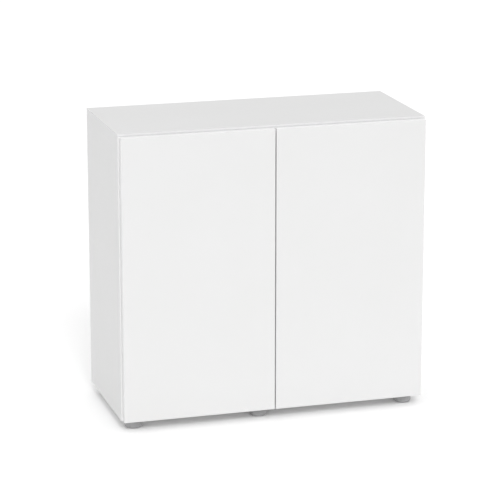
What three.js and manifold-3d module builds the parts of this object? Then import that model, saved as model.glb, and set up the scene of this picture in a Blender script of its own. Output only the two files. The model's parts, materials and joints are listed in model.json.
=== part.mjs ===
// Aquarium stand cabinet: a board carcass with mitred upper corners on six levelling feet,
// closed by two push-to-open doors on concealed cup hinges. Millimetres, +Z up. The origin is
// on the floor under the middle of the whole cabinet, and the doors face -Y.
import * as THREE from 'three';
import { mergeVertices } from 'three/addons/utils/BufferGeometryUtils.js';
import Module from 'manifold-3d';

// ---- driving dimensions ----
const WIDTH = 800;
const CARCASS_DEPTH = 340;
const CARCASS_HEIGHT = 738;
const BOARD = 18;
const BACK_BOARD = 12;
const GAP = 0.3;

const DOOR_BOARD = 16;
const DOOR_AIR = 2.5;
const DOOR_SIDE_REVEAL = 4;
const DOOR_TOP_REVEAL = 6;
const DOOR_SPLIT = 3;

const FOOT_HEIGHT = 27;
const FOOT_INSET_X = 38;
const FOOT_INSET_Y = 32;
const MIDDLE_FOOT_X = -31;
const GLIDE_RADIUS = 23;
const GLIDE_REST_RADIUS = 17;
const GLIDE_CURVE_HEIGHT = 8;
const GLIDE_FLOOR = 10;
const GLIDE_HEIGHT = 16;
const GLIDE_EDGE = 1.5;
const SOCKET_RADIUS = 16;
const SOCKET_FLANGE_RADIUS = 20;
const SOCKET_FLANGE = 3;
const STEM_RADIUS = 4;
const STEM_LENGTH = 14;

const PORT_WIDTH = 130;
const PORT_HEIGHT = 60;
const PORT_CORNER = 15;
const PORT_INSET = 120;
const PORT_DROP = 70;

const SHELF_SETBACK = 25;
const SHELF_LEVEL = 340;
const PIN_RADIUS = 2.5;
const PIN_HOLE_RADIUS = 2.8;
const PIN_HOLE_DEPTH = 9;
const PIN_INSET = 50;
const PIN_PITCH = 32;
const PIN_ROWS = [-2, -1, 0, 1, 2];
const PIN_NOSE = 9;
const PIN_COLLAR_RADIUS = 4;
const PIN_COLLAR = 0.6;
const SHELF_END_AIR = 1;

const HINGE_LEVELS = { lower: 110, upper: 622 };
const CUP_SETBACK = 20.5;
const CUP_RADIUS = 17.3;
const CUP_DEPTH = 12.7;
const CUP_WALL = 1;
const CUP_FLOOR = 0.6;
const FLANGE = 1.1;
const WING_START = 15.5;
const WING_END = 31;
const WING_HALF_WIDTH = 7;
const RIVET_RADIUS = 1.1;
const RIVET_PLAY = 0.2;
const EYE_RADIUS = 2.4;
const LINK_HALF_THICKNESS = 1.4;
const LINK_LOW = 0.5;
const LINK_HIGH = 4.9;
const EAR_LOW = 6.6;
const EAR_HIGH = 8;
const ARM_REACH = 60;
const ARM_WEB = 1.4;
const ARM_FOOT = 12;
const ARM_FOOT_START = 20;
const EAR_SLOPE = 4;
const PLATE_START = 24;
const PLATE = 3;
const PLATE_LUG = { start: 30, end: 44, halfHeight: 22 };
const PLATE_CORE = { start: 27, end: 56, halfHeight: 6, height: 12 };
const CUP_MOUTH_HALF_HEIGHT = 11;
const CUP_MOUTH_MARGIN = 2;

// The hinge's four pivots with the door shut, as [u, v] in plan: u runs inward from the side
// panel's outer face, v runs into the cabinet from the carcass front. The long link's cup
// rivet has a slack eye, because that link turns in a fixed ratio to the short one.
const SHORT_LINK = { arm: [31.8, -8.7], bend: [27.7, -17.8], cup: [16.2, -7.0], cupPlay: RIVET_PLAY };
const LONG_LINK = { arm: [50.8, 2.4], bend: [24.0, -2.1], cup: [17.2, -3.0], cupPlay: 0.65 };

const LATCH_OFFSET = 34;
const LATCH_WIDTH = 16;
const LATCH_HEIGHT = 14;
const LATCH_LENGTH = 74;
const PLUNGER_RADIUS = 3.5;
const PLUNGER_LENGTH = 48;
const STRIKE_RADIUS = 8;
const STRIKE_THICKNESS = 1.2;
const BUMPER_RADIUS = 3.5;
const BUMPER_INSET = 4;
const BUMPER_LEVEL = 60;
const LATCH_SETBACK = 2;

// ---- places worked out from them ----
const DEPTH = CARCASS_DEPTH + DOOR_AIR + DOOR_BOARD;
const BACK = DEPTH / 2;
const FRONT = BACK - CARCASS_DEPTH;
const DOOR_BACK = FRONT - DOOR_AIR;
const DOOR_FACE = -DEPTH / 2;
const BASE = FOOT_HEIGHT;
const TOP = BASE + CARCASS_HEIGHT;
const SIDE = WIDTH / 2;
const INNER = SIDE - BOARD;
const FLOOR = BASE + BOARD;
const CEILING = TOP - BOARD;
const REAR = BACK - BACK_BOARD - GAP;

// ---- finishes ----
const white = new THREE.MeshStandardMaterial({ color: 0xf2f2f1, roughness: 0.45, metalness: 0 });
const greyPlastic = new THREE.MeshStandardMaterial({ color: 0x8e8f90, roughness: 0.5, metalness: 0 });
const steel = new THREE.MeshStandardMaterial({ color: 0xb9bbbd, roughness: 0.3, metalness: 1 });
const latchPlastic = new THREE.MeshStandardMaterial({ color: 0xdcdcda, roughness: 0.5, metalness: 0 });
const silicone = new THREE.MeshStandardMaterial({ color: 0xe6e8ea, roughness: 0.35, metalness: 0 });

const cabinet = new THREE.Group();
const wasm = await Module();
wasm.setup();

// ---- joining and cutting ----
function solid(geometry) {
  const bare = geometry.clone();
  bare.deleteAttribute('normal');
  bare.deleteAttribute('uv');
  const merged = mergeVertices(bare, 1e-4);
  return new wasm.Manifold(new wasm.Mesh({
    numProp: 3,
    vertProperties: new Float32Array(merged.attributes.position.array),
    triVerts: new Uint32Array(merged.index.array),
  }));
}

function geometryOf(body) {
  const { vertProperties, triVerts } = body.getMesh();
  const geometry = new THREE.BufferGeometry();
  geometry.setAttribute('position', new THREE.BufferAttribute(vertProperties, 3));
  geometry.setIndex(new THREE.BufferAttribute(triVerts, 1));
  return geometry;
}

function joined(geometries) {
  return geometries.map(solid).reduce((whole, piece) => whole.add(piece));
}

function addPart(name, shape, material) {
  const geometry = shape.isBufferGeometry ? shape : geometryOf(shape);
  const mesh = new THREE.Mesh(geometry, material);
  mesh.name = name;
  cabinet.add(mesh);
}

// ---- shapes ----
function block(low, high) {
  const size = high.map((value, i) => value - low[i]);
  const middle = high.map((value, i) => (value + low[i]) / 2);
  return new THREE.BoxGeometry(...size).translate(...middle);
}

function extruded(shape, low, high, curveSegments = 6) {
  const options = { depth: high - low, bevelEnabled: false, curveSegments };
  return new THREE.ExtrudeGeometry(shape, options).translate(0, 0, low);
}

// A cylinder standing along Z over a plan point.
function post(point, radius, low, high, segments = 16) {
  return new THREE.CylinderGeometry(radius, radius, high - low, segments)
    .rotateX(Math.PI / 2)
    .translate(point.x, point.y, (low + high) / 2);
}

// A cylinder lying along Y.
function rod(x, z, radius, front, back, segments = 16) {
  return new THREE.CylinderGeometry(radius, radius, back - front, segments)
    .translate(x, (front + back) / 2, z);
}

// A turned piece about a vertical axis: the profile lists [radius, height] from the axis round.
function turned(profile, x, y, segments = 24) {
  const points = profile.map(([radius, height]) => new THREE.Vector2(radius, height));
  return new THREE.LatheGeometry(points, segments)
    .rotateX(Math.PI / 2)
    .translate(x, y, 0);
}

// ---- carcass panels ----
// The upper corners are mitred, so the top and the sides show no seam on their faces.
function mitredPanel(corners) {
  const outline = new THREE.Shape(corners.map(([x, z]) => new THREE.Vector2(x, z)));
  return extruded(outline, 0, CARCASS_DEPTH).rotateX(Math.PI / 2).translate(0, BACK, 0);
}

function addTopPanel() {
  const corners = [[-SIDE, TOP], [SIDE, TOP], [INNER, CEILING], [-INNER, CEILING]];
  addPart('top_panel', mitredPanel(corners), white);
}

function pinPlaces() {
  const rows = PIN_ROWS.map((row) => FLOOR + SHELF_LEVEL + row * PIN_PITCH);
  return [FRONT + PIN_INSET, REAR - PIN_INSET].flatMap((y) => rows.map((z) => [y, z]));
}

// Blind holes for shelf pins, drilled along X into the face at faceX.
function drilled(panel, faceX) {
  const holes = pinPlaces().map(([y, z]) => {
    const hole = new THREE.CylinderGeometry(PIN_HOLE_RADIUS, PIN_HOLE_RADIUS, 2 * PIN_HOLE_DEPTH, 8);
    return solid(hole.rotateZ(Math.PI / 2).translate(faceX, y, z));
  });
  return holes.reduce((body, hole) => body.subtract(hole), solid(panel));
}

function addSidePanels() {
  for (const [name, dir] of [['left', -1], ['right', 1]]) {
    const corners = [[INNER, BASE], [SIDE, BASE], [SIDE, TOP - GAP], [INNER, CEILING - GAP]];
    const panel = mitredPanel(corners.map(([x, z]) => [dir * x, z]));
    addPart(`${name}_side_panel`, dir < 0 ? drilled(panel, -INNER) : panel, white);
  }
}

function addBottomPanel() {
  addPart('bottom_panel', block([-INNER, FRONT, BASE], [INNER, BACK, FLOOR]), white);
}

function addCentrePartition() {
  const panel = block([-BOARD / 2, FRONT, FLOOR], [BOARD / 2, REAR, CEILING]);
  addPart('centre_partition', drilled(panel, -BOARD / 2), white);
}

function roundedPort(x, z) {
  const hole = new THREE.Path();
  const halfW = PORT_WIDTH / 2 - PORT_CORNER;
  const halfH = PORT_HEIGHT / 2 - PORT_CORNER;
  hole.absarc(x + halfW, z + halfH, PORT_CORNER, 0, Math.PI / 2);
  hole.absarc(x - halfW, z + halfH, PORT_CORNER, Math.PI / 2, Math.PI);
  hole.absarc(x - halfW, z - halfH, PORT_CORNER, Math.PI, 1.5 * Math.PI);
  hole.absarc(x + halfW, z - halfH, PORT_CORNER, 1.5 * Math.PI, 2 * Math.PI);
  return hole;
}

function addBackPanel() {
  const low = FLOOR + GAP;
  const high = CEILING - GAP;
  const half = INNER - GAP;
  const corners = [[-half, low], [half, low], [half, high], [-half, high]];
  const outline = new THREE.Shape(corners.map(([x, z]) => new THREE.Vector2(x, z)));
  for (const dir of [-1, 1]) {
    outline.holes.push(roundedPort(dir * (INNER - PORT_INSET), CEILING - PORT_DROP));
  }
  const panel = extruded(outline, 0, BACK_BOARD).rotateX(Math.PI / 2).translate(0, BACK, 0);
  addPart('back_panel', panel, white);
}

// ---- shelf ----
function addShelf() {
  const bottom = FLOOR + SHELF_LEVEL + PIN_RADIUS + GAP;
  const low = [-INNER + SHELF_END_AIR, FRONT + SHELF_SETBACK, bottom];
  const high = [-BOARD / 2 - SHELF_END_AIR, REAR - SHELF_END_AIR, bottom + BOARD];
  addPart('left_shelf', block(low, high), white);
}

// A pin's stem sits in its hole, a collar stops it at the panel, and the shelf rests on its nose.
function addShelfPin(name, faceX, dir, y) {
  const tail = 1 - PIN_HOLE_DEPTH;
  const collar = GAP + PIN_COLLAR;
  const profile = [[0, tail], [PIN_RADIUS, tail], [PIN_RADIUS, GAP], [PIN_COLLAR_RADIUS, GAP],
    [PIN_COLLAR_RADIUS, collar], [PIN_RADIUS, collar], [PIN_RADIUS, PIN_NOSE], [0, PIN_NOSE]];
  const points = profile.map(([radius, height]) => new THREE.Vector2(radius, height));
  const pin = new THREE.LatheGeometry(points, 10)
    .rotateZ(-dir * Math.PI / 2)
    .translate(faceX, y, FLOOR + SHELF_LEVEL);
  addPart(name, pin, steel);
}

function addShelfPins() {
  for (const [place, y] of [['front', FRONT + PIN_INSET], ['back', REAR - PIN_INSET]]) {
    addShelfPin(`shelf_pin_${place}_left`, -INNER, 1, y);
    addShelfPin(`shelf_pin_${place}_right`, -BOARD / 2, -1, y);
  }
}

// ---- levelling feet ----
// The glide is a shallow bowl that swells from its rest on the floor to its full width.
function bowlSide(steps = 4) {
  const swell = GLIDE_RADIUS - GLIDE_REST_RADIUS;
  return Array.from({ length: steps + 1 }, (_, i) => {
    const angle = (i / steps) * (Math.PI / 2);
    return [GLIDE_REST_RADIUS + swell * Math.sin(angle), GLIDE_CURVE_HEIGHT * (1 - Math.cos(angle))];
  });
}

// The socket is screwed under the bottom panel and dips into the glide, whose stem screws up
// into the socket's bore.
function addFoot(name, x, y) {
  const seat = GLIDE_FLOOR + GAP;
  const bore = STEM_RADIUS + GAP;
  const boreTop = GLIDE_FLOOR + STEM_LENGTH + 1;
  const flange = BASE - GAP - SOCKET_FLANGE;
  const socket = [[0, boreTop], [bore, boreTop], [bore, seat], [SOCKET_RADIUS, seat],
    [SOCKET_RADIUS, flange], [SOCKET_FLANGE_RADIUS, flange], [SOCKET_FLANGE_RADIUS, BASE - GAP],
    [0, BASE - GAP]];
  addPart(`${name}_foot_socket`, turned(socket, x, y), greyPlastic);
  const well = SOCKET_RADIUS + 2 * GAP;
  const stemTop = GLIDE_FLOOR + STEM_LENGTH;
  const glide = [[0, 0], ...bowlSide(), [GLIDE_RADIUS, GLIDE_HEIGHT - GLIDE_EDGE],
    [GLIDE_RADIUS - GLIDE_EDGE, GLIDE_HEIGHT], [well, GLIDE_HEIGHT], [well, GLIDE_FLOOR],
    [STEM_RADIUS, GLIDE_FLOOR], [STEM_RADIUS, stemTop], [0, stemTop]];
  addPart(`${name}_foot_glide`, turned(glide, x, y), greyPlastic);
}

function addFeet() {
  const columns = { left: FOOT_INSET_X - SIDE, middle: MIDDLE_FOOT_X, right: SIDE - FOOT_INSET_X };
  const rows = { front: FRONT + FOOT_INSET_Y, back: BACK - FOOT_INSET_Y };
  for (const [row, y] of Object.entries(rows)) {
    for (const [column, x] of Object.entries(columns)) {
      addFoot(`${row}_${column}`, x, y);
    }
  }
}

// ---- hinges ----
// A plan point of the hinge on the left (dir -1) or the right (dir 1) side panel.
function plan(dir, [u, v]) {
  return new THREE.Vector2(dir * (SIDE - u), FRONT + v);
}

function planShape(dir, corners) {
  return new THREE.Shape(corners.map((corner) => plan(dir, corner)));
}

// A bent steel strip with an eye at each end, standing between two levels.
function hingeLink(dir, link, low, high) {
  const curve = new THREE.QuadraticBezierCurve(
    plan(dir, link.arm),
    plan(dir, link.bend),
    plan(dir, link.cup),
  );
  const steps = 8;
  const outline = [];
  for (let i = 0; i <= steps; i += 1) {
    const centre = curve.getPoint(i / steps);
    const along = curve.getTangent(i / steps).multiplyScalar(LINK_HALF_THICKNESS);
    outline.push(new THREE.Vector2(centre.x - along.y, centre.y + along.x));
    outline.unshift(new THREE.Vector2(centre.x + along.y, centre.y - along.x));
  }
  const strip = extruded(new THREE.Shape(outline), low, high);
  const eyes = [link.arm, link.cup].map((end) => post(plan(dir, end), EYE_RADIUS, low, high));
  const armBore = post(plan(dir, link.arm), RIVET_RADIUS + RIVET_PLAY, low - 1, high + 1, 12);
  const cupBore = post(plan(dir, link.cup), RIVET_RADIUS + link.cupPlay, low - 1, high + 1, 12);
  return joined([strip, ...eyes]).subtract(solid(armBore)).subtract(solid(cupBore));
}

// The fixed arm: two ears carrying a rivet each, joined by a web on the inner side.
function hingeArm(dir, z) {
  const [shortU, shortV] = SHORT_LINK.arm;
  const [longU, longV] = LONG_LINK.arm;
  const outer = BOARD + PLATE + GAP;
  const inner = outer + ARM_FOOT;
  const ear = [[shortU - EYE_RADIUS, shortV], [shortU + EYE_RADIUS, shortV],
    [shortU + EYE_RADIUS + 1, longV - EAR_SLOPE], [longU, longV - EYE_RADIUS],
    [longU, longV + EYE_RADIUS], [inner, ARM_FOOT_START], [inner, ARM_REACH],
    [outer, ARM_REACH], [outer, PLATE_START]];
  const pieces = [];
  for (const sign of [-1, 1]) {
    const low = z + Math.min(sign * EAR_LOW, sign * EAR_HIGH);
    const high = low + EAR_HIGH - EAR_LOW;
    pieces.push(extruded(planShape(dir, ear), low, high));
    pieces.push(post(plan(dir, SHORT_LINK.arm), EYE_RADIUS, low, high));
    pieces.push(post(plan(dir, LONG_LINK.arm), EYE_RADIUS, low, high));
  }
  const web = [[inner - ARM_WEB, ARM_FOOT_START + 1], [inner, ARM_FOOT_START],
    [inner, ARM_REACH], [inner - ARM_WEB, ARM_REACH]];
  pieces.push(extruded(planShape(dir, web), z - EAR_HIGH, z + EAR_HIGH));
  pieces.push(post(plan(dir, SHORT_LINK.arm), RIVET_RADIUS, z - EAR_HIGH, z - LINK_LOW, 12));
  pieces.push(post(plan(dir, LONG_LINK.arm), RIVET_RADIUS, z + LINK_LOW, z + EAR_HIGH, 12));
  return joined(pieces);
}

// The mounting plate: a foot flat on the side panel, with two lugs for its screws and a core
// that the arm straddles.
function mountingPlate(dir, z) {
  const tile = (height, start, end, halfHeight) => {
    const corners = [[BOARD, start], [BOARD + height, start], [BOARD + height, end], [BOARD, end]];
    return extruded(planShape(dir, corners), z - halfHeight, z + halfHeight);
  };
  return joined([
    tile(PLATE, PLATE_START, ARM_REACH, EAR_HIGH),
    tile(PLATE, PLATE_LUG.start, PLATE_LUG.end, PLATE_LUG.halfHeight),
    tile(PLATE_CORE.height, PLATE_CORE.start, PLATE_CORE.end, PLATE_CORE.halfHeight),
  ]);
}

// The cup sits in the door's pocket on two screw wings, and holds the links' other rivets.
function hingeCup(dir, z) {
  const middle = plan(dir, [DOOR_SIDE_REVEAL + CUP_SETBACK, 0]);
  const inside = CUP_RADIUS - CUP_WALL;
  const profile = [[0, -CUP_DEPTH], [CUP_RADIUS, -CUP_DEPTH], [CUP_RADIUS, FLANGE],
    [inside, FLANGE], [inside, CUP_FLOOR - CUP_DEPTH], [0, CUP_FLOOR - CUP_DEPTH]];
  const points = profile.map(([radius, height]) => new THREE.Vector2(radius, height));
  const bowl = new THREE.LatheGeometry(points, 24).translate(middle.x, DOOR_BACK, z);
  const pieces = [bowl];
  for (const sign of [-1, 1]) {
    const low = z + Math.min(sign * WING_START, sign * WING_END);
    const high = low + WING_END - WING_START;
    pieces.push(block(
      [middle.x - WING_HALF_WIDTH, DOOR_BACK + 0.1, low],
      [middle.x + WING_HALF_WIDTH, DOOR_BACK + FLANGE, high],
    ));
  }
  for (const [link, sign] of [[SHORT_LINK, -1], [LONG_LINK, 1]]) {
    const offset = DOOR_SIDE_REVEAL + CUP_SETBACK - link.cup[0];
    const wall = Math.sqrt((CUP_RADIUS - CUP_WALL / 2) ** 2 - offset ** 2);
    const ends = [z + sign * wall, z + sign * LINK_LOW];
    pieces.push(post(plan(dir, link.cup), RIVET_RADIUS, Math.min(...ends), Math.max(...ends), 12));
  }
  const reach = CUP_RADIUS + CUP_MOUTH_MARGIN;
  const mouth = block(
    [middle.x - reach, DOOR_BACK, z - CUP_MOUTH_HALF_HEIGHT],
    [middle.x + reach, DOOR_BACK + FLANGE + 1, z + CUP_MOUTH_HALF_HEIGHT],
  );
  return joined(pieces).subtract(solid(mouth));
}

function addHinges() {
  for (const [side, dir] of [['left', -1], ['right', 1]]) {
    for (const [level, height] of Object.entries(HINGE_LEVELS)) {
      const z = BASE + height;
      const name = `${side}_${level}_hinge`;
      addPart(`${name}_plate`, mountingPlate(dir, z), steel);
      addPart(`${name}_arm`, hingeArm(dir, z), steel);
      addPart(`${name}_short_link`, hingeLink(dir, SHORT_LINK, z - LINK_HIGH, z - LINK_LOW), steel);
      addPart(`${name}_long_link`, hingeLink(dir, LONG_LINK, z + LINK_LOW, z + LINK_HIGH), steel);
      addPart(`${name}_cup`, hingeCup(dir, z), steel);
    }
  }
}

// ---- doors ----
function addDoors() {
  for (const [side, dir] of [['left', -1], ['right', 1]]) {
    const inner = dir * DOOR_SPLIT / 2;
    const outer = dir * (SIDE - DOOR_SIDE_REVEAL);
    const panel = block(
      [Math.min(inner, outer), DOOR_FACE, BASE],
      [Math.max(inner, outer), DOOR_BACK, TOP - DOOR_TOP_REVEAL],
    );
    const cupX = dir * (SIDE - DOOR_SIDE_REVEAL - CUP_SETBACK);
    const bored = Object.values(HINGE_LEVELS).reduce((door, height) => {
      const floor = DOOR_BACK - CUP_DEPTH - GAP;
      const pocket = rod(cupX, BASE + height, CUP_RADIUS + GAP, floor, DOOR_BACK + 1, 24);
      return door.subtract(solid(pocket));
    }, solid(panel));
    addPart(`${side}_door_panel`, bored, white);
    const bumperX = inner + dir * BUMPER_INSET;
    for (const [level, z] of [['lower', FLOOR + BUMPER_LEVEL], ['upper', CEILING - BUMPER_LEVEL]]) {
      const bumper = rod(bumperX, z, BUMPER_RADIUS, DOOR_BACK, FRONT - GAP);
      addPart(`${side}_${level}_bumper`, bumper, silicone);
    }
  }
}

// ---- push-to-open latches ----
function addLatches() {
  for (const [side, dir] of [['left', -1], ['right', 1]]) {
    const x = dir * LATCH_OFFSET;
    const z = CEILING - LATCH_HEIGHT / 2;
    const half = LATCH_WIDTH / 2;
    const front = FRONT + LATCH_SETBACK;
    const housing = block(
      [x - half, front, CEILING - LATCH_HEIGHT],
      [x + half, front + LATCH_LENGTH, CEILING],
    );
    const bore = rod(x, z, PLUNGER_RADIUS + GAP, FRONT, front + PLUNGER_LENGTH);
    addPart(`${side}_latch_housing`, solid(housing).subtract(solid(bore)), latchPlastic);
    const tip = DOOR_BACK + STRIKE_THICKNESS + GAP;
    addPart(`${side}_latch_plunger`, rod(x, z, PLUNGER_RADIUS, tip, tip + PLUNGER_LENGTH), greyPlastic);
    const strike = rod(x, z, STRIKE_RADIUS, DOOR_BACK, DOOR_BACK + STRIKE_THICKNESS, 20);
    addPart(`${side}_strike_plate`, strike, steel);
  }
}

addTopPanel();
addSidePanels();
addBottomPanel();
addCentrePartition();
addBackPanel();
addShelf();
addShelfPins();
addFeet();
addHinges();
addDoors();
addLatches();

export default cabinet;
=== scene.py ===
"""Finish of the aquarium stand cabinet: refined pieces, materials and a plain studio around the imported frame.

Metres, +Z up, doors facing -Y. Places come from the frame's node boxes and joints.
"""

import json
import math

import bmesh
import bpy
from mathutils import Matrix, Vector


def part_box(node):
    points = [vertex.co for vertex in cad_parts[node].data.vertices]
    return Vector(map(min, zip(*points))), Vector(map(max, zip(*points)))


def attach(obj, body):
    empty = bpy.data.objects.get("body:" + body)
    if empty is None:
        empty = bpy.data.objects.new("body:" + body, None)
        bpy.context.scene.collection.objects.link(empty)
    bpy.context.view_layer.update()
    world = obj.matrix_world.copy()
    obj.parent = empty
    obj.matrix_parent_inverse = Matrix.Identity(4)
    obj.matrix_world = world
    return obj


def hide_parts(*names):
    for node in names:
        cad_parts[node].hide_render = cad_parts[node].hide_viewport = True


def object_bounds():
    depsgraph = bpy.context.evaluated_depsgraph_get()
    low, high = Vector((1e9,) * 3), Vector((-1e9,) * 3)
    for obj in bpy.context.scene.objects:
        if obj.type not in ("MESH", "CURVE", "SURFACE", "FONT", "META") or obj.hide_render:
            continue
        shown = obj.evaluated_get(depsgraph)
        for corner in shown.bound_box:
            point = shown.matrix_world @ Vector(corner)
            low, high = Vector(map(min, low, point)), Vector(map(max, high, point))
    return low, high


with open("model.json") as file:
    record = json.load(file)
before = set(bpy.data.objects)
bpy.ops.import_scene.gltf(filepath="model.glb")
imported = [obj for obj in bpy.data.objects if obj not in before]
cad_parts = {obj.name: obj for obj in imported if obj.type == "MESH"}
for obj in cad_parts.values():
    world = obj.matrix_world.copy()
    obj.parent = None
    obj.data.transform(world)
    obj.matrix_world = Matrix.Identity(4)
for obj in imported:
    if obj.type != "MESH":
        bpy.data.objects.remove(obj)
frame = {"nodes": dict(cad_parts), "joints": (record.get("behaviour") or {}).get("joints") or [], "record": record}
CAD_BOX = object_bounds()
MM = 0.001
RECORD = frame["record"]
BODY_OF = {node: body for body, nodes in RECORD["behaviour"]["bodies"].items() for node in nodes}
PIVOT = {joint["name"]: Vector(joint["pos_m"]) for joint in frame["joints"] if "pos_m" in joint}
SIDES = {"left": 1, "right": -1}
LEVELS = ("lower", "upper")
FEET = [f"{row}_{column}" for row in ("front", "back") for column in ("left", "middle", "right")]
NOISE_LOW, NOISE_HIGH = 0.3, 0.7


# ---- materials ----
def new_material(name, colour, roughness, metallic=0.0):
    """A material, its node tree and its shader, with the even values set on the shader itself."""
    material = bpy.data.materials.new(name)
    material.use_nodes = True
    tree = material.node_tree
    shader = tree.nodes["Principled BSDF"]
    shader.inputs["Base Color"].default_value = (*colour, 1)
    shader.inputs["Roughness"].default_value = roughness
    shader.inputs["Metallic"].default_value = metallic
    return material, tree, shader


def add_node(tree, kind, **inputs):
    node = tree.nodes.new(kind)
    for name, value in inputs.items():
        node.inputs[name.replace("_", " ")].default_value = value
    return node


def stretched_coordinates(tree, stretch):
    """Object coordinates in metres, scaled along each axis."""
    place = tree.nodes.new("ShaderNodeTexCoord")
    mapping = add_node(tree, "ShaderNodeMapping", Scale=stretch)
    tree.links.new(place.outputs["Object"], mapping.inputs["Vector"])
    return mapping.outputs["Vector"]


def noise(tree, scale, detail=2.0, stretch=(1, 1, 1)):
    texture = add_node(tree, "ShaderNodeTexNoise", Scale=scale, Detail=detail)
    tree.links.new(stretched_coordinates(tree, stretch), texture.inputs["Vector"])
    return texture.outputs["Fac"]


def vary_colour(tree, shader, factor, dark, light):
    ramp = tree.nodes.new("ShaderNodeValToRGB")
    ramp.color_ramp.elements[0].color = (*dark, 1)
    ramp.color_ramp.elements[0].position = NOISE_LOW
    ramp.color_ramp.elements[1].color = (*light, 1)
    ramp.color_ramp.elements[1].position = NOISE_HIGH
    tree.links.new(factor, ramp.inputs["Fac"])
    tree.links.new(ramp.outputs["Color"], shader.inputs["Base Color"])


def vary_roughness(tree, shader, factor, low, high):
    spread = add_node(
        tree, "ShaderNodeMapRange", From_Min=NOISE_LOW, From_Max=NOISE_HIGH, To_Min=low, To_Max=high
    )
    tree.links.new(factor, spread.inputs["Value"])
    tree.links.new(spread.outputs["Result"], shader.inputs["Roughness"])


def add_bump(tree, shader, factor, height, strength=1.0):
    bump = add_node(tree, "ShaderNodeBump", Strength=strength, Distance=height)
    tree.links.new(factor, bump.inputs["Height"])
    tree.links.new(bump.outputs["Normal"], shader.inputs["Normal"])


def shade(grey, tint=(0, 0, 0)):
    return tuple(grey + t for t in tint)


def white_melamine():
    """Satin white decor paper pressed with a fine pearl texture."""
    material, tree, shader = new_material("white_melamine", shade(0.8), 0.42)
    vary_colour(tree, shader, noise(tree, 4, 3), shade(0.794, (0, 0, -0.003)), shade(0.806))
    vary_roughness(tree, shader, noise(tree, 60, 3), 0.38, 0.47)
    add_bump(tree, shader, noise(tree, 1400, 2), 0.00004, 0.5)
    shader.inputs["Specular IOR Level"].default_value = 0.4
    return material


def white_edge_band():
    """Edge band in solid plastic, a touch glossier and cooler than the faces."""
    material, tree, shader = new_material("white_edge_band", shade(0.88), 0.33)
    vary_colour(tree, shader, noise(tree, 9, 2), shade(0.872), shade(0.888, (0, 0, 0.004)))
    vary_roughness(tree, shader, noise(tree, 150, 2), 0.29, 0.38)
    add_bump(tree, shader, noise(tree, 900, 2), 0.00003, 0.5)
    return material


def raw_chipboard():
    """Sawn core of the board, seen in drilled holes and cut-outs."""
    material, tree, shader = new_material("raw_chipboard", (0.5, 0.37, 0.23), 0.88)
    chips = add_node(tree, "ShaderNodeTexVoronoi", Scale=420)
    tree.links.new(stretched_coordinates(tree, (1, 1.8, 1)), chips.inputs["Vector"])
    split = tree.nodes.new("ShaderNodeSeparateColor")
    tree.links.new(chips.outputs["Color"], split.inputs["Color"])
    vary_colour(tree, shader, split.outputs["Red"], (0.34, 0.23, 0.13), (0.66, 0.52, 0.35))
    add_bump(tree, shader, chips.outputs["Distance"], 0.0003, 0.6)
    return material


def plated_steel(name, colour, low, high, brushed):
    """Plated sheet steel with the faint drawing lines of the strip."""
    material, tree, shader = new_material(name, colour, (low + high) / 2, 1.0)
    darker = tuple(0.97 * c for c in colour)
    vary_colour(tree, shader, noise(tree, 60, 2), darker, colour)
    vary_roughness(tree, shader, noise(tree, 160, 2, brushed), low, high)
    add_bump(tree, shader, noise(tree, 1200, 1, brushed), 0.00001, 0.12)
    return material


def moulded_plastic(name, colour, roughness, grain):
    """Injection-moulded plastic with a spark-eroded grain and small tone differences."""
    material, tree, shader = new_material(name, colour, roughness)
    darker = tuple(0.94 * c for c in colour)
    vary_colour(tree, shader, noise(tree, 70, 3), darker, colour)
    vary_roughness(tree, shader, noise(tree, 500, 2), roughness - 0.05, roughness + 0.07)
    add_bump(tree, shader, noise(tree, grain, 2), 0.00006, 0.5)
    return material


def clear_silicone():
    """Soft milky dot with a slight inner glow."""
    material, tree, shader = new_material("clear_silicone", (0.8, 0.82, 0.83), 0.28)
    shader.inputs["Transmission Weight"].default_value = 0.35
    shader.inputs["IOR"].default_value = 1.41
    vary_colour(tree, shader, noise(tree, 250, 2), (0.76, 0.78, 0.79), (0.84, 0.86, 0.87))
    return material


MELAMINE = white_melamine()
EDGE_BAND = white_edge_band()
CHIPBOARD = raw_chipboard()
NICKEL = plated_steel("nickel_plate", (0.74, 0.73, 0.705), 0.24, 0.3, (1, 1, 6))
ZINC = plated_steel("zinc_plate", (0.67, 0.69, 0.715), 0.28, 0.36, (1, 6, 1))
FOOT_PLASTIC = moulded_plastic("grey_foot_plastic", (0.46, 0.46, 0.465), 0.46, 2200)
# the pad's darker grey is partly its own tone and partly painted shade along the foot's lower rim
PAD_PAINTED_SHADE_PLASTIC = moulded_plastic("pad_plastic_with_painted_rim_shade", (0.36, 0.36, 0.365), 0.55, 2600)
LATCH_PLASTIC = moulded_plastic("pale_latch_plastic", (0.74, 0.74, 0.73), 0.4, 1800)
CAP_PLASTIC = moulded_plastic("white_cap_plastic", (0.83, 0.83, 0.825), 0.36, 1800)
PLUNGER_PLASTIC = moulded_plastic("grey_plunger_plastic", (0.42, 0.43, 0.44), 0.38, 2000)
SILICONE = clear_silicone()


# ---- pieces ----
JOIN_DISTANCE = 0.002 * MM
FLAT_DEG = 0.5


def add_piece(name, mesh, body, replaces=(), place=None):
    """A piece that rides on a body and hides any CAD nodes that it stands for."""
    piece = bpy.data.objects.new(name, mesh)
    bpy.context.scene.collection.objects.link(piece)
    if place is not None:
        piece.matrix_world = place
    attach(piece, body)
    if replaces:
        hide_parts(*replaces)
    return piece


def mesh_of(shape, name, materials, sharp_deg=40.0):
    """A smooth-shaded mesh whose edges over sharp_deg stay crisp."""
    bmesh.ops.recalc_face_normals(shape, faces=shape.faces)
    for face in shape.faces:
        face.smooth = True
    mesh = bpy.data.meshes.new(name)
    shape.to_mesh(mesh)
    shape.free()
    for material in materials:
        mesh.materials.append(material)
    if sharp_deg:
        mesh.set_sharp_from_angle(angle=math.radians(sharp_deg))
    return mesh


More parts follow.
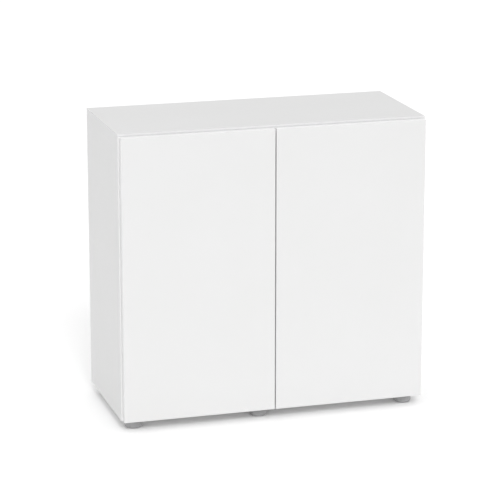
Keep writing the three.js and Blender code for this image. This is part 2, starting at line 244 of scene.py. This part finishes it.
def round_edges(piece, width, segments, limit_deg=None):
    """Rounds the edges over an angle or, with none given, the edges that carry a bevel weight."""
    bevel = piece.modifiers.new("rounded_edges", "BEVEL")
    bevel.width = width
    bevel.segments = segments
    if limit_deg is None:
        bevel.limit_method = "WEIGHT"
    else:
        bevel.limit_method = "ANGLE"
        bevel.angle_limit = math.radians(limit_deg)
        bevel.harden_normals = True


def shape_of_node(node):
    """The node's solid with its split vertices joined and its flat faces whole."""
    shape = bmesh.new()
    shape.from_mesh(frame["nodes"][node].data)
    bmesh.ops.remove_doubles(shape, verts=shape.verts, dist=JOIN_DISTANCE)
    bmesh.ops.dissolve_limit(
        shape, angle_limit=math.radians(FLAT_DEG), verts=shape.verts, edges=shape.edges
    )
    return shape


def refined(node, suffix, materials, width, limit_deg, segments=3):
    """A piece that stands for a CAD node: the same solid with rounded edges."""
    mesh = mesh_of(shape_of_node(node), f"{node}_{suffix}", materials, sharp_deg=None)
    piece = add_piece(f"{node}_{suffix}", mesh, BODY_OF[node], [node])
    round_edges(piece, width, segments, limit_deg)


def ring_vert(shape, radius, angle, height):
    """A vertex on a circle about Z, its radius and height in mm."""
    return shape.verts.new((radius * MM * math.cos(angle), radius * MM * math.sin(angle), height * MM))


def turned_shape(profile, segments=48):
    """A solid of revolution about Z; the profile runs from the axis round to the axis, in mm."""
    shape = bmesh.new()
    rings = []
    for radius, height in profile:
        if radius == 0:
            rings.append([shape.verts.new((0, 0, height * MM))])
            continue
        rings.append([ring_vert(shape, radius, 2 * math.pi * i / segments, height) for i in range(segments)])
    for lower, upper in zip(rings, rings[1:]):
        for i in range(segments):
            j = (i + 1) % segments
            corners = [
                lower[i % len(lower)], lower[j % len(lower)],
                upper[j % len(upper)], upper[i % len(upper)],
            ]
            shape.faces.new(list(dict.fromkeys(corners)))
    return shape


def turned_mesh(name, profile, materials, segments=48, sharp_deg=40.0):
    return mesh_of(turned_shape(profile, segments), name, materials, sharp_deg)


def placed(point, axis=(0, 0, 1)):
    """A matrix that puts a piece made along +Z at a point, along an axis."""
    turn = Vector(axis).to_track_quat("Z", "Y").to_matrix().to_4x4()
    return Matrix.Translation(point) @ turn


def centre_of(node):
    low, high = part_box(node)
    return (low + high) / 2


def put(name, mesh, body, point, axis=(0, 0, 1), replaces=()):
    """A piece that shares a mesh made along +Z, set at a point and facing an axis."""
    add_piece(name, mesh, body, replaces, placed(point, axis))


# ---- boards ----
MITRE_RADIUS = 0.9 * MM
MITRE_STEPS = 3
EDGE_RADIUS = 0.7 * MM
EDGE_STEPS = 3
CREASE_DEG = 50
ON_PLANE = 0.02 * MM
ON_TIP = 0.01 * MM
CUT_DISTANCE = 1e-7
MELAMINE_FACE, BANDED_RIM, BARE_CUT = 0, 1, 2
THICKNESS_AXIS = {
    "top_panel": 2, "bottom_panel": 2, "left_shelf": 2,
    "left_side_panel": 0, "right_side_panel": 0, "centre_partition": 0,
    "back_panel": 1, "left_door_panel": 1, "right_door_panel": 1,
}
MITRED = ("top_panel", "left_side_panel", "right_side_panel")


def mitres_of(shape, node):
    """The two slanting end faces of the top panel, or the one of a side panel."""
    if node not in MITRED:
        return set()
    return {face for face in shape.faces if abs(face.normal.x) > 0.5 and abs(face.normal.z) > 0.5}


def close_mitre(mitres, gap):
    """Raises a side panel's mitre until it meets the top panel's."""
    for vert in {vert for face in mitres for vert in face.verts}:
        vert.co.z += gap


def round_mitre_tip(shape, corner_x, corner_z, along):
    """Turns a mitred outer corner into its half of a quarter round; `along` is the axis of its outer face."""
    across = "z" if along == "x" else "x"
    inward = Vector((-math.copysign(1, corner_x), 0, -1))
    corner = Vector((corner_x, 0, corner_z))
    for step in range(MITRE_STEPS + 1):
        angle = math.radians(45) * step / MITRE_STEPS
        run = MITRE_RADIUS * (1 - math.sin(angle))
        drop = MITRE_RADIUS * (1 - math.cos(angle))
        level = getattr(corner, along) + getattr(inward, along) * run
        old = getattr(corner, along) if step == MITRE_STEPS else level
        if step < MITRE_STEPS:
            plane = Vector([1 if name == along else 0 for name in "xyz"])
            geometry = list(shape.verts) + list(shape.edges) + list(shape.faces)
            bmesh.ops.bisect_plane(
                shape, geom=geometry, dist=CUT_DISTANCE, plane_co=plane * level, plane_no=plane
            )
        for vert in shape.verts:
            on_level = abs(getattr(vert.co, along) - old) < ON_TIP
            on_face = abs(getattr(vert.co, across) - getattr(corner, across)) < ON_TIP
            if on_level and on_face:
                setattr(vert.co, along, level)
                setattr(vert.co, across, getattr(corner, across) + getattr(inward, across) * drop)


def paint_board(shape, mitres, axis, low, high):
    """Faces on the board's two large planes are melamine, its rim is edge band, cuts show the core."""
    for face in shape.faces:
        middle = face.calc_center_median()
        planes = [
            i for i in range(3)
            if abs(face.normal[i]) > 0.99 and min(middle[i] - low[i], high[i] - middle[i]) < ON_PLANE
        ]
        if axis in planes:
            face.material_index = MELAMINE_FACE
        elif planes or face in mitres:
            face.material_index = BANDED_RIM
        else:
            face.material_index = BARE_CUT


def mark_rounded_edges(shape, mitres):
    """The board's outer edges are eased; saw cuts and mitres stay sharp."""
    shape.normal_update()
    weight = shape.edges.layers.float.new("bevel_weight_edge")
    for edge in shape.edges:
        faces = edge.link_faces
        crisp = any(face.material_index == BARE_CUT or face in mitres for face in faces)
        if len(faces) == 2 and not crisp and edge.calc_face_angle() > math.radians(CREASE_DEG):
            edge[weight] = 1


def add_board(node):
    """A board with eased edges, closed mitres and a material for its faces, its rim and its cuts."""
    shape = shape_of_node(node)
    low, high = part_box(node)
    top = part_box("top_panel")[1]
    mitres = mitres_of(shape, node)
    if node.endswith("side_panel"):
        gap = top.z - high.z
        close_mitre(mitres, gap)
        high.z += gap
    paint_board(shape, mitres, THICKNESS_AXIS[node], low, high)
    mark_rounded_edges(shape, mitres)
    if node == "top_panel":
        for corner_x in (low.x, high.x):
            round_mitre_tip(shape, corner_x, top.z, "x")
    elif node in MITRED:
        round_mitre_tip(shape, low.x if low.x < 0 else high.x, top.z, "z")
    mesh = mesh_of(shape, f"{node}_board", [MELAMINE, EDGE_BAND, CHIPBOARD], CREASE_DEG)
    piece = add_piece(f"{node}_board", mesh, BODY_OF[node], [node])
    round_edges(piece, EDGE_RADIUS, EDGE_STEPS)
    piece.modifiers.new("flat_faces", "WEIGHTED_NORMAL").keep_sharp = True


def add_boards():
    for node in THICKNESS_AXIS:
        add_board(node)


# ---- fasteners ----
RECESS_SLOT = 0.16
RECESS_TAPER = 0.6
RECESS_MOUTH = 0.4
CUT_CREASE_DEG = 35


def cross_recess(arm, depth):
    """A tapered plus-shaped cutter that points down from a little above z 0, in mm."""
    half = RECESS_SLOT * arm
    plus = [
        (half, half), (half, arm), (-half, arm), (-half, half), (-arm, half), (-arm, -half),
        (-half, -half), (-half, -arm), (half, -arm), (half, -half), (arm, -half), (arm, half),
    ]
    shape = bmesh.new()
    top = [shape.verts.new((x * MM, y * MM, RECESS_MOUTH * MM)) for x, y in plus]
    bottom = [
        shape.verts.new((RECESS_TAPER * x * MM, RECESS_TAPER * y * MM, -depth * MM)) for x, y in plus
    ]
    shape.faces.new(top)
    shape.faces.new(list(reversed(bottom)))
    for i, here in enumerate(top):
        j = (i + 1) % len(top)
        shape.faces.new([here, bottom[i], bottom[j], top[j]])
    return shape


def cut(mesh, cutter_mesh, name):
    """The mesh less the cutter, as a new mesh."""
    body = bpy.data.objects.new(name, mesh)
    tool = bpy.data.objects.new(name + "_tool", cutter_mesh)
    for piece in (body, tool):
        bpy.context.scene.collection.objects.link(piece)
    boolean = body.modifiers.new("cut", "BOOLEAN")
    boolean.operation = "DIFFERENCE"
    boolean.solver = "EXACT"
    boolean.object = tool
    bpy.context.view_layer.update()
    graph = bpy.context.evaluated_depsgraph_get()
    result = bpy.data.meshes.new_from_object(body.evaluated_get(graph), depsgraph=graph)
    result.name = name
    for piece in (body, tool):
        bpy.data.objects.remove(piece)
    result.set_sharp_from_angle(angle=math.radians(CUT_CREASE_DEG))
    return result


def screw_mesh(name, radius, height, material):
    """A pan head with a cross recess, its bearing face on z 0."""
    profile = [(0, height), (0.55 * radius, 0.97 * height), (0.8 * radius, 0.84 * height),
               (0.94 * radius, 0.6 * height), (radius, 0.3 * height), (radius, 0), (0, 0)]
    head = turned_mesh(name + "_head", list(reversed(profile)), [material], 40)
    recess = cross_recess(0.52 * radius, 0.75 * height)
    recess.transform(Matrix.Translation((0, 0, height * MM)))
    return cut(head, mesh_of(recess, name + "_recess", [material], None), name)


WING_SCREW = screw_mesh("wing_screw", 3.4, 1.2, ZINC)
PLATE_SCREW = screw_mesh("plate_screw", 3.8, 1.8, ZINC)
ARM_SCREW = screw_mesh("arm_screw", 4.2, 1.7, NICKEL)
SMALL_SCREW = screw_mesh("small_screw", 2.9, 1.1, ZINC)
RIVET_PROFILE = [(0, 0), (2.2, 0), (2.1, 0.35), (1.6, 0.7), (0.8, 0.85), (0, 0.88)]
RIVET = turned_mesh("rivet_head", RIVET_PROFILE, [NICKEL], 32)


# ---- hinges ----
STAMPING_EDGES = {"plate": 0.4, "arm": 0.3, "short_link": 0.25, "long_link": 0.25, "cup": 0.2}
STAMPING_CREASE_DEG = 32
PLATE_LUG = 3
PLATE_SCREW_SETBACK = 13
PLATE_SCREW_SPREAD = 15.5
ARM_WEB = 15
ARM_SCREWS = {"clamp": 12, "adjusting": 29}
WING_SCREW_SPREAD = 24
ENDS = ((-1, "low"), (1, "high"))


def add_hinge(side, level):
    """Stamped hinge parts with rounded edges, their rivet heads and their screws."""
    inward = SIDES[side]
    stem = f"{side}_{level}_hinge"
    for part, width in STAMPING_EDGES.items():
        refined(f"{stem}_{part}", "stamping", [NICKEL], width * MM, STAMPING_CREASE_DEG, segments=2)
    plate_low, plate_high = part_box(f"{stem}_plate")
    arm_low, arm_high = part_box(f"{stem}_arm")
    middle = centre_of(f"{stem}_plate")
    wall = plate_low.x if inward > 0 else plate_high.x
    lug_face = wall + inward * PLATE_LUG * MM
    lug_y = plate_low.y + PLATE_SCREW_SETBACK * MM
    for sign, end in ENDS:
        point = Vector((lug_face, lug_y, middle.z + sign * PLATE_SCREW_SPREAD * MM))
        put(f"{stem}_plate_screw_{end}", PLATE_SCREW, "carcass", point, (inward, 0, 0))
    web_face = wall + inward * ARM_WEB * MM
    for place, from_back in ARM_SCREWS.items():
        point = Vector((web_face, arm_high.y - from_back * MM, middle.z))
        put(f"{stem}_{place}_screw", ARM_SCREW, "carcass", point, (inward, 0, 0))
    for link in ("short", "long"):
        pivot = PIVOT[f"{side}_{link}_link_turn"]
        for sign, end in ENDS:
            ear = arm_low.z if sign < 0 else arm_high.z
            point = Vector((pivot.x, pivot.y, ear))
            put(f"{stem}_{link}_rivet_{end}", RIVET, "carcass", point, (0, 0, sign))
    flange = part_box(f"{stem}_cup")[1].y
    cup = centre_of(f"{stem}_cup")
    for sign, end in ENDS:
        point = Vector((cup.x, flange, cup.z + sign * WING_SCREW_SPREAD * MM))
        put(f"{stem}_wing_screw_{end}", WING_SCREW, f"{side}_door", point, (0, 1, 0))


# ---- levelling feet ----
GLIDE_REST, GLIDE_FULL, GLIDE_CURVE = 17.0, 23.0, 8.0
INNER_RIBS, OUTER_RIBS = 12, 24
STEM_RADIUS, STEM_LOW, STEM_HIGH = 4.0, 9.0, 24.0


def threaded_stem(radius, low, high, pitch=1.25, segments=24, steps_per_turn=8):
    """A coarse screw thread about Z between two heights, closed at both ends, in mm."""
    shape = bmesh.new()
    rows = int((high - low) / pitch * steps_per_turn)
    depth = 0.3 * pitch
    rings = []
    for row in range(rows + 1):
        height = low + (high - low) * row / rows
        ring = []
        for i in range(segments):
            turn = i / segments
            phase = (height / pitch - turn) % 1
            flank = abs(2 * phase - 1)
            ring.append(ring_vert(shape, radius - depth * flank, 2 * math.pi * turn, height))
        rings.append(ring)
    for lower, upper in zip(rings, rings[1:]):
        for i in range(segments):
            j = (i + 1) % segments
            shape.faces.new([lower[i], lower[j], upper[j], upper[i]])
    shape.faces.new(list(reversed(rings[0])))
    shape.faces.new(rings[-1])
    return shape


def glide_mesh():
    """The foot's bowl: it swells from a thin tread and holds a well for the socket."""
    swell = []
    for turn in range(20, 91, 10):
        angle = math.radians(turn)
        radius = GLIDE_REST + (GLIDE_FULL - GLIDE_REST) * math.sin(angle)
        swell.append((radius, GLIDE_CURVE * (1 - math.cos(angle))))
    body = [(0, 0.4), (17.9, 0.4), *swell, (GLIDE_FULL, 14.6), (22.7, 15.4), (22.0, 15.9), (21.4, 16.0),
            (17.2, 16.0), (16.7, 15.6), (16.6, 15.0), (16.6, 10.0), (8.0, 10.0), (7.2, 9.4), (0, 9.4)]
    return turned_mesh("glide_bowl", body, [FOOT_PLASTIC], 72, 30)


def tread_mesh():
    """The thin pad under the bowl; its darker grey is partly the pad's own tone and partly painted shade along the
    foot's lower rim.
    """
    tread = [(0, 0), (16.8, 0), (17.5, 0.15), (17.9, 0.38), (0, 0.38)]
    return turned_mesh("glide_tread", tread, [PAD_PAINTED_SHADE_PLASTIC], 72, 30)


def socket_mesh():
    """The screwed-on socket: a flanged drum around the bore, stiffened by ribs."""
    bore, seat, top = 4.3, 10.3, 26.7
    drum = [(0, 25), (bore, 25), (bore, seat), (7.5, seat), (7.5, 21.5), (12.6, 21.5), (12.6, seat + 0.6),
            (13.0, seat), (15.6, seat), (16.0, seat + 0.4), (16.0, 23.3), (16.4, 23.7), (19.6, 23.7),
            (20.0, 24.1), (20.0, top - 0.3), (19.7, top), (0, top)]
    shape = turned_shape(drum, 72)
    for i in range(INNER_RIBS):
        add_rib(shape, 2 * math.pi * i / INNER_RIBS, 7.0, 13.0, seat + 1.2, 22.0)
    for i in range(OUTER_RIBS):
        add_rib(shape, 2 * math.pi * (i + 0.5) / OUTER_RIBS, 15.5, 16.3, seat + 1.0, 23.8)
    return mesh_of(shape, "foot_socket", [FOOT_PLASTIC], 30)


def add_rib(shape, angle, inner, outer, low, high, half=0.5):
    """A thin radial wall, in mm."""
    turn = Matrix.Rotation(angle, 4, "Z")
    corners = [
        shape.verts.new(turn @ Vector((x * MM, y * MM, z * MM)))
        for x in (inner, outer) for y in (-half, half) for z in (low, high)
    ]
    for quad in ((0, 1, 3, 2), (4, 6, 7, 5), (0, 4, 5, 1), (2, 3, 7, 6), (0, 2, 6, 4), (1, 5, 7, 3)):
        shape.faces.new([corners[i] for i in quad])


def add_feet():
    socket = socket_mesh()
    glide = glide_mesh()
    tread = tread_mesh()
    stem = mesh_of(threaded_stem(STEM_RADIUS, STEM_LOW, STEM_HIGH), "glide_stem", [ZINC], 50)
    for foot in FEET:
        low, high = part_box(f"{foot}_foot_glide")
        point = Vector(((low.x + high.x) / 2, (low.y + high.y) / 2, 0))
        body = BODY_OF[f"{foot}_foot_glide"]
        put(f"{foot}_foot_socket_moulding", socket, "carcass", point,
            replaces=[f"{foot}_foot_socket"])
        put(f"{foot}_foot_disc", glide, body, point, replaces=[f"{foot}_foot_glide"])
        put(f"{foot}_foot_tread", tread, body, point)
        put(f"{foot}_foot_stem", stem, body, point)


# ---- latches, bumpers, shelf pins, fitting caps ----
LATCH_SCREW_FRONT, LATCH_SCREW_BACK = 14, 10
CAP_FRONT, CAP_BACK, CAP_LEVEL = 62, 88, 34


def add_latch(side):
    """The latch's housing and its screws, the grooved plunger and the strike plate on the door."""
    stem = f"{side}_latch"
    refined(f"{stem}_housing", "moulding", [LATCH_PLASTIC], 1.0 * MM, 50)
    low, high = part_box(f"{stem}_housing")
    x = (low.x + high.x) / 2
    for name, y in (("front", low.y + LATCH_SCREW_FRONT * MM), ("back", high.y - LATCH_SCREW_BACK * MM)):
        put(f"{stem}_screw_{name}", SMALL_SCREW, "carcass", Vector((x, y, low.z)), (0, 0, -1))
    low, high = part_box(f"{stem}_plunger")
    length = (high.y - low.y) / MM
    rod = [(0, 0), (2.4, 0), (3.2, 0.35), (3.5, 1.0), (3.5, 4.4), (3.2, 4.7), (3.2, 5.3), (3.5, 5.6),
           (3.5, length - 0.4), (3.1, length), (0, length)]
    mesh = turned_mesh(f"{stem}_rod", rod, [PLUNGER_PLASTIC], 32)
    centre = centre_of(f"{stem}_plunger")
    put(f"{stem}_plunger_rod", mesh, BODY_OF[f"{stem}_plunger"],
        Vector((centre.x, low.y, centre.z)), (0, 1, 0), [f"{stem}_plunger"])
    low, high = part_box(f"{side}_strike_plate")
    centre = centre_of(f"{side}_strike_plate")
    disc = [(0, 0), (8, 0), (8, 0.8), (7.6, 1.2), (3.4, 1.2), (2.4, 0.9), (0, 0.9)]
    mesh = turned_mesh(f"{side}_strike_disc", disc, [ZINC], 48, 30)
    put(f"{side}_strike_disc", mesh, f"{side}_door",
        Vector((centre.x, low.y, centre.z)), (0, 1, 0), [f"{side}_strike_plate"])


def add_bumpers():
    dome = [(0, 0), (3.5, 0), (3.5, 0.5), (3.3, 1.1), (2.8, 1.6), (2.0, 1.95), (1.0, 2.15), (0, 2.2)]
    mesh = turned_mesh("bumper_dome", dome, [SILICONE], 32)
    for side in SIDES:
        for level in LEVELS:
            node = f"{side}_{level}_bumper"
            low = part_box(node)[0]
            centre = centre_of(node)
            point = Vector((centre.x, low.y, centre.z))
            put(f"{node}_dome", mesh, f"{side}_door", point, (0, 1, 0), [node])


def add_shelf_pins():
    for row in ("front", "back"):
        for end in ("left", "right"):
            refined(f"shelf_pin_{row}_{end}", "peg", [ZINC], 0.2 * MM, 50, segments=2)


def add_fitting_caps():
    """Covers over the cam fittings that tie the partition to the top and the bottom panel."""
    cap = [(0, 0), (8.6, 0), (8.6, 0.35), (8.2, 0.75), (7.2, 0.85), (2.6, 0.85), (2.2, 0.55), (0, 0.55)]
    mesh = turned_mesh("fitting_cap", cap, [CAP_PLASTIC], 48, 30)
    low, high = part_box("centre_partition")
    for name, x, way in (("left", low.x, -1), ("right", high.x, 1)):
        for row, y in (("front", low.y + CAP_FRONT * MM), ("back", high.y - CAP_BACK * MM)):
            for level, z in (("lower", low.z + CAP_LEVEL * MM), ("upper", high.z - CAP_LEVEL * MM)):
                put(f"fitting_cap_{name}_{row}_{level}", mesh, "carcass",
                    Vector((x, y, z)), (way, 0, 0))


add_boards()
for side in SIDES:
    for level in LEVELS:
        add_hinge(side, level)
    add_latch(side)
add_feet()
add_bumpers()
add_shelf_pins()
add_fitting_caps()


# ---- studio ----
CABINET_MIDDLE = (CAD_BOX[0] + CAD_BOX[1]) / 2
FLOOR_RADIUS = 40
FLOOR_GAP = 0.0002
FLOOR_GLOW = 0.07
SENSOR_WIDTH = 36
CLIP_END = 200


def add_floor():
    """A wide pale floor that glows a little, so that it stays white around its shadows."""
    shape = bmesh.new()
    bmesh.ops.create_circle(shape, cap_ends=True, segments=96, radius=FLOOR_RADIUS)
    mesh = bpy.data.meshes.new("studio_floor")
    shape.to_mesh(mesh)
    shape.free()
    material, _, shader = new_material("studio_floor", shade(0.98), 1.0)
    shader.inputs["Specular IOR Level"].default_value = 0
    shader.inputs["Emission Color"].default_value = (1, 1, 1, 1)
    shader.inputs["Emission Strength"].default_value = FLOOR_GLOW
    mesh.materials.append(material)
    floor = bpy.data.objects.new("studio_floor", mesh)
    bpy.context.scene.collection.objects.link(floor)
    floor.location.z = CAD_BOX[0].z - FLOOR_GAP


def add_world(horizon, zenith, seen):
    """A white dome that sheds more light from above; the camera sees it as plain white."""
    world = bpy.data.worlds.new("studio")
    bpy.context.scene.world = world
    world.use_nodes = True
    tree = world.node_tree
    background = tree.nodes["Background"]
    background.inputs["Color"].default_value = (1, 1, 1, 1)
    place = tree.nodes.new("ShaderNodeTexCoord")
    split = tree.nodes.new("ShaderNodeSeparateXYZ")
    tree.links.new(place.outputs["Generated"], split.inputs["Vector"])
    dome = add_node(tree, "ShaderNodeMapRange", To_Min=horizon, To_Max=zenith)
    tree.links.new(split.outputs["Z"], dome.inputs["Value"])
    path = tree.nodes.new("ShaderNodeLightPath")
    pick = add_node(tree, "ShaderNodeMapRange", To_Max=seen)
    tree.links.new(path.outputs["Is Camera Ray"], pick.inputs["Value"])
    tree.links.new(dome.outputs["Result"], pick.inputs["To Min"])
    tree.links.new(pick.outputs["Result"], background.inputs["Strength"])


def add_key(direction, strength, softness_deg):
    """A broad soft light from far away, so that the floor is lit evenly."""
    lamp = bpy.data.lights.new("key", "SUN")
    lamp.energy = strength
    lamp.angle = math.radians(softness_deg)
    key = bpy.data.objects.new("key", lamp)
    bpy.context.scene.collection.objects.link(key)
    key.rotation_euler = Vector(direction).to_track_quat("Z", "Y").to_euler()


def add_camera(heading_deg, dip_deg, distance, lens, aim):
    """A long lens from the front left, looking slightly down."""
    heading, dip = math.radians(heading_deg), math.radians(dip_deg)
    level = math.cos(dip)
    forward = Vector((math.sin(heading) * level, math.cos(heading) * level, -math.sin(dip)))
    lens_data = bpy.data.cameras.new("camera")
    lens_data.lens = lens
    lens_data.sensor_width = SENSOR_WIDTH
    lens_data.clip_end = CLIP_END
    camera = bpy.data.objects.new("camera", lens_data)
    bpy.context.scene.collection.objects.link(camera)
    camera.location = aim - forward * distance
    camera.rotation_euler = forward.to_track_quat("-Z", "Y").to_euler()
    bpy.context.scene.camera = camera


add_floor()
add_world(horizon=0.11, zenith=1.165, seen=1.0)
add_key(direction=(-0.1, -0.76, 0.64), strength=1.1, softness_deg=22)
add_camera(
    heading_deg=16.50, dip_deg=14.93, distance=6.216, lens=172.8,
    aim=CABINET_MIDDLE + Vector((-0.012, 0.009, 0.0185)),
)
bpy.context.scene.view_settings.view_transform = "Standard"
bpy.context.scene.view_settings.look = "None"

bpy.context.view_layer.update()
